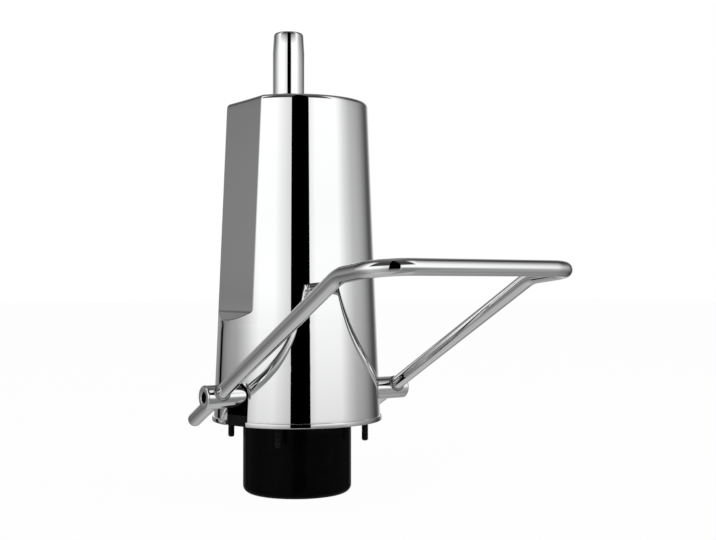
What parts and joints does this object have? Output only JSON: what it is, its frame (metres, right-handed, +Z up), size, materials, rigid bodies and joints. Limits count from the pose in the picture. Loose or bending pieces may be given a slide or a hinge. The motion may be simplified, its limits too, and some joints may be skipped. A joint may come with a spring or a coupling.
{
  "type": "barber chair hydraulic pump",
  "caption": "Hydraulic lift pump for a barber chair: chromed conical shroud, off-centre ram, bent-bar foot pedal on a cross axle, black oil reservoir below and fixing bolts around it.",
  "frame": {"origin": "on the reservoir axis at the underside of the flange, which is the top of the chair's base and the centre of the fixing bolts", "axes": "+Z up, the ram and the reservoir are parallel to Z, the pedal reaches towards -Y and its axle lies along X"},
  "size_m": [0.2, 0.3427, 0.406],
  "materials": {
    "chrome": "polished chrome plate",
    "black_enamel": "gloss black enamel",
    "cast_iron": "black painted casting",
    "black_steel": "black oxide steel",
    "zinc_steel": "zinc plated steel",
    "ground_steel": "ground steel",
    "spring_steel": "oiled spring steel",
    "bronze": "bearing bronze",
    "rubber": "nitrile rubber"
  },
  "bodies": {
    "base": {"reservoir_can": "black_enamel", "can_gasket": "rubber", "drain_bolt": "zinc_steel", "drain_washer": "zinc_steel", "pump_body": "cast_iron", "flange_bolts": "black_steel", "spring_washers": "black_steel", "filler_plug": "zinc_steel", "cylinder_tube": "ground_steel", "gland_head": "ground_steel", "gland_o_ring": "rubber", "rod_seal": "rubber", "wiper_seal": "rubber", "ring_nut": "chrome", "shroud": "chrome", "axle_bushes": "bronze", "suction_seat": "bronze", "strainer": "zinc_steel", "discharge_stop": "bronze", "discharge_plug": "zinc_steel", "release_seat": "bronze", "plunger_seal": "rubber"},
    "pedal": {"axle_tube": "chrome", "pedal_loop": "chrome", "rocker_cam": "cast_iron", "cam_pin": "spring_steel", "release_fork": "cast_iron", "fork_pin": "spring_steel", "shaft_collars": "zinc_steel", "collar_screws": "black_steel"},
    "piston": {"piston": "cast_iron", "piston_seal": "rubber", "guide_ring": "bronze"},
    "ram": {"ram": "chrome", "thrust_washer": "bronze", "piston_nut": "zinc_steel"},
    "plunger": {"plunger": "ground_steel", "roller_pin": "ground_steel", "plunger_spring": "spring_steel"},
    "roller": {"follower_roller": "ground_steel"},
    "release": {"release_rod": "ground_steel", "release_spring": "spring_steel"},
    "suction": {"suction_ball": "ground_steel"},
    "discharge": {"discharge_ball": "ground_steel", "discharge_spring": "spring_steel"}
  },
  "joints": [
    {"name": "pedal_swing", "type": "hinge", "parent": "base", "child": "pedal", "pos_m": [0, -0.0195, 0.0255], "axis": [1, 0, 0], "range_deg": [0, 25], "stiffness_Nm_per_rad": 6, "springref_deg": -28.65},
    {"name": "plunger_stroke", "type": "slide", "parent": "base", "child": "plunger", "axis": [0, 0, 1], "range_m": [-0.0049, 0], "deforming": ["plunger_spring"]},
    {"name": "roller_spin", "type": "hinge", "parent": "plunger", "child": "roller", "pos_m": [0, -0.0195, 0.0059], "axis": [1, 0, 0], "continuous": true},
    {"name": "ram_lift", "type": "slide", "parent": "base", "child": "piston", "axis": [0, 0, 1], "range_m": [0, 0.15]},
    {"name": "ram_swivel", "type": "hinge", "parent": "piston", "child": "ram", "pos_m": [0, 0.016, 0], "axis": [0, 0, 1], "continuous": true},
    {"name": "release_pull", "type": "slide", "parent": "base", "child": "release", "axis": [0, 0, 1], "range_m": [0, 0.0015], "stiffness_N_per_m": 400, "springref_m": -0.005, "deforming": ["release_spring"]},
    {"name": "suction_lift", "type": "slide", "parent": "base", "child": "suction", "axis": [0, 0, 1], "range_m": [0, 0.0012]},
    {"name": "discharge_lift", "type": "slide", "parent": "base", "child": "discharge", "axis": [0, 1, 0], "range_m": [0, 0.0012], "stiffness_N_per_m": 50, "springref_m": -0.002, "deforming": ["discharge_spring"]}
  ],
  "couplings": [
    {"joint": "plunger_stroke", "follows": "pedal_swing", "m_per_rad": -0.011}
  ]
}
